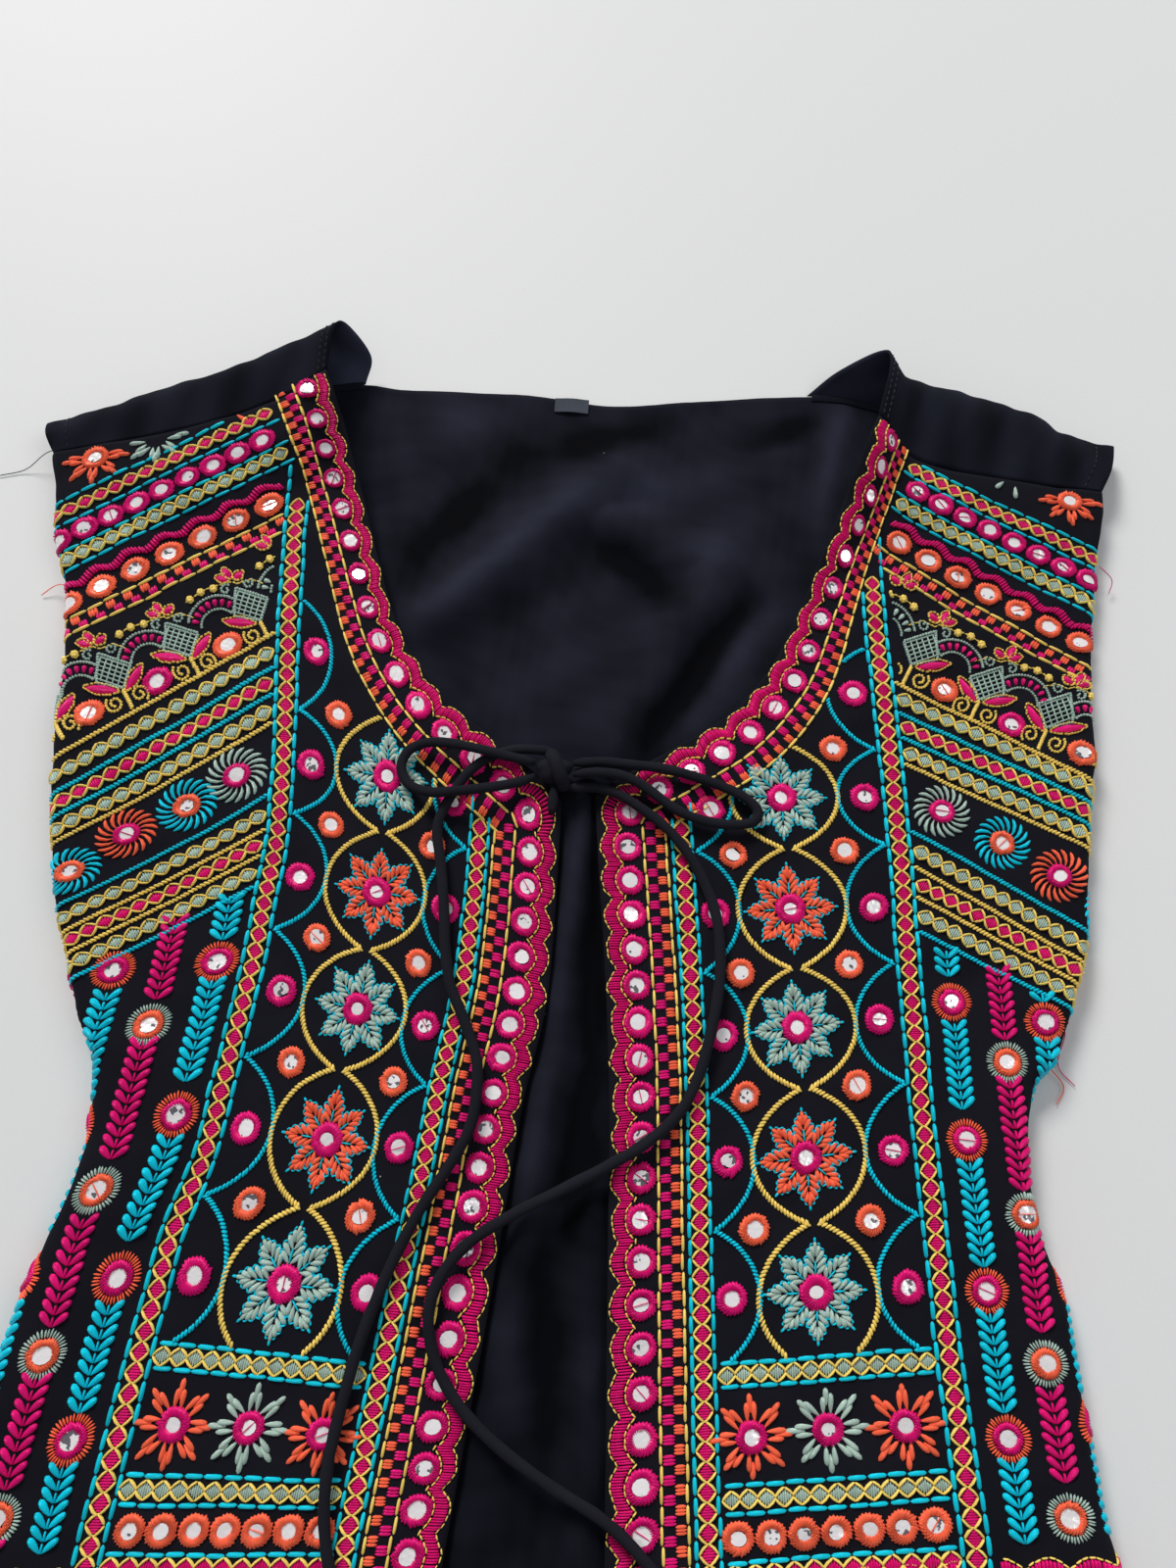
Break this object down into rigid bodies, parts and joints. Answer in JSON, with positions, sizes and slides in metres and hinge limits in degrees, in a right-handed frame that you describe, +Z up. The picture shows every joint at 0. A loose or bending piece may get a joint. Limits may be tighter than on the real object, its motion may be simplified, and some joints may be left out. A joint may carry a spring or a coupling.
{
  "type": "embroidered vest",
  "caption": "Sleeveless open-front waistcoat of black cotton with embroidered mirror-work fronts, a plain back and a self-fabric bow tie at the breast, lying flat.",
  "frame": {"origin": "middle of the cloth's box on the surface that it lies on, the free ties left out", "axes": "+Z up from the surface to the embroidered side, +Y toward the neck, +X toward the wearer's left"},
  "size_m": [0.4168, 0.4746, 0.0239],
  "materials": {
    "front_cotton": "plain black cotton that the embroidery is worked on",
    "back_cotton": "plain black cotton, inside shown",
    "shoulder_cotton": "plain black cotton",
    "label_woven": "dark slate woven tape, bare",
    "tie_cotton": "turned tube of black cotton"
  },
  "bodies": {
    "root": {"back": "back_cotton", "front_left": "front_cotton", "front_right": "front_cotton", "shoulder_left": "shoulder_cotton", "shoulder_right": "shoulder_cotton", "neck_label": "label_woven", "tie_knot": "tie_cotton", "tie_left_root": "tie_cotton", "tie_right_root": "tie_cotton", "tie_left_loop": "tie_cotton", "tie_right_loop": "tie_cotton", "tie_left_tail": "tie_cotton", "tie_right_tail": "tie_cotton"}
  },
  "joints": []
}
